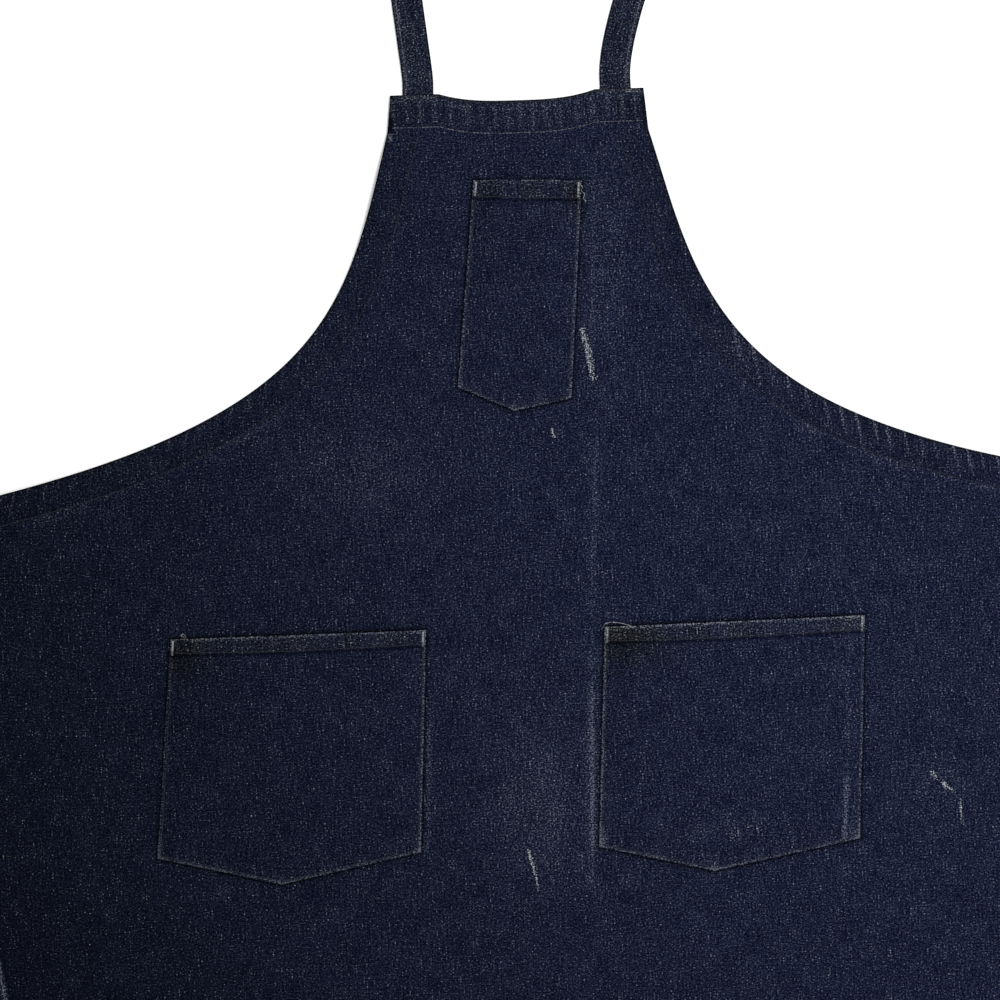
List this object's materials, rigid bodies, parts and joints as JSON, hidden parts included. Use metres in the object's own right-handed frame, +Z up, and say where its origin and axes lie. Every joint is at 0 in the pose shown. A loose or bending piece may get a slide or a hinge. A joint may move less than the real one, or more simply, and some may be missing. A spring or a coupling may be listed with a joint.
{
  "type": "artist smock apron",
  "caption": "Bib apron in heavy denim, laid flat: scooped armholes, neck loop, chest and hip patch pockets with pointed feet, and waist ties.",
  "frame": {"origin": "middle of the laid-out apron's box, on the surface it lies on", "axes": "+Y towards the neck loop, +X to the viewer's right, +Z up out of the front of the cloth"},
  "size_m": [1.016, 1.2004, 0.0254],
  "materials": {
    "denim": "washed indigo twill, faded in patches",
    "denim_wrong_side": "paler weft side of the twill",
    "strap_denim": "washed indigo twill, folded and edge stitched",
    "stitching": "faded cotton topstitching",
    "tack_thread": "pale dense bar of thread"
  },
  "bodies": {
    "apron": {"body_panel": "denim", "bib_facing": "denim_wrong_side", "bib_hem_stitching": "stitching", "bib_edge_stitching": "stitching", "bottom_hem": "denim_wrong_side", "bottom_hem_stitching": "stitching", "armhole_facing_left": "denim_wrong_side", "armhole_stitching_left": "stitching", "side_hem_left": "denim_wrong_side", "side_hem_stitching_left": "stitching", "armhole_facing_right": "denim_wrong_side", "armhole_stitching_right": "stitching", "side_hem_right": "denim_wrong_side", "side_hem_stitching_right": "stitching", "chest_pocket": "denim", "chest_pocket_hem": "denim_wrong_side", "chest_pocket_hem_stitching": "stitching", "chest_pocket_stitching": "stitching", "chest_pocket_tack_left": "tack_thread", "chest_pocket_tack_right": "tack_thread", "hip_pocket_left": "denim", "hip_pocket_left_hem": "denim_wrong_side", "hip_pocket_left_hem_stitching": "stitching", "hip_pocket_left_stitching": "stitching", "hip_pocket_left_tack_left": "tack_thread", "hip_pocket_left_tack_right": "tack_thread", "hip_pocket_right": "denim", "hip_pocket_right_hem": "denim_wrong_side", "hip_pocket_right_hem_stitching": "stitching", "hip_pocket_right_stitching": "stitching", "hip_pocket_right_tack_left": "tack_thread", "hip_pocket_right_tack_right": "tack_thread", "neck_strap_end_left": "strap_denim", "neck_strap_end_right": "strap_denim", "waist_tie_tack_left": "stitching", "waist_tie_tack_right": "stitching"},
    "neck_loop": {"neck_strap": "strap_denim", "neck_strap_stitching": "stitching"},
    "tie_left": {"waist_tie_left": "strap_denim", "waist_tie_stitching_left": "stitching"},
    "tie_right": {"waist_tie_right": "strap_denim", "waist_tie_stitching_right": "stitching"}
  },
  "joints": [
    {"name": "neck_loop_fold", "type": "hinge", "parent": "apron", "child": "neck_loop", "pos_m": [0, 0.35211, 0.0027], "axis": [1, 0, 0], "range_deg": [0, 165]},
    {"name": "tie_left_swing", "type": "hinge", "parent": "apron", "child": "tie_left", "pos_m": [-0.494, 0.00111, 0.0041], "axis": [0, 0, -1], "range_deg": [0, 100]},
    {"name": "tie_right_swing", "type": "hinge", "parent": "apron", "child": "tie_right", "pos_m": [0.494, 0.00111, 0.0041], "axis": [0, 0, 1], "range_deg": [0, 100]}
  ]
}
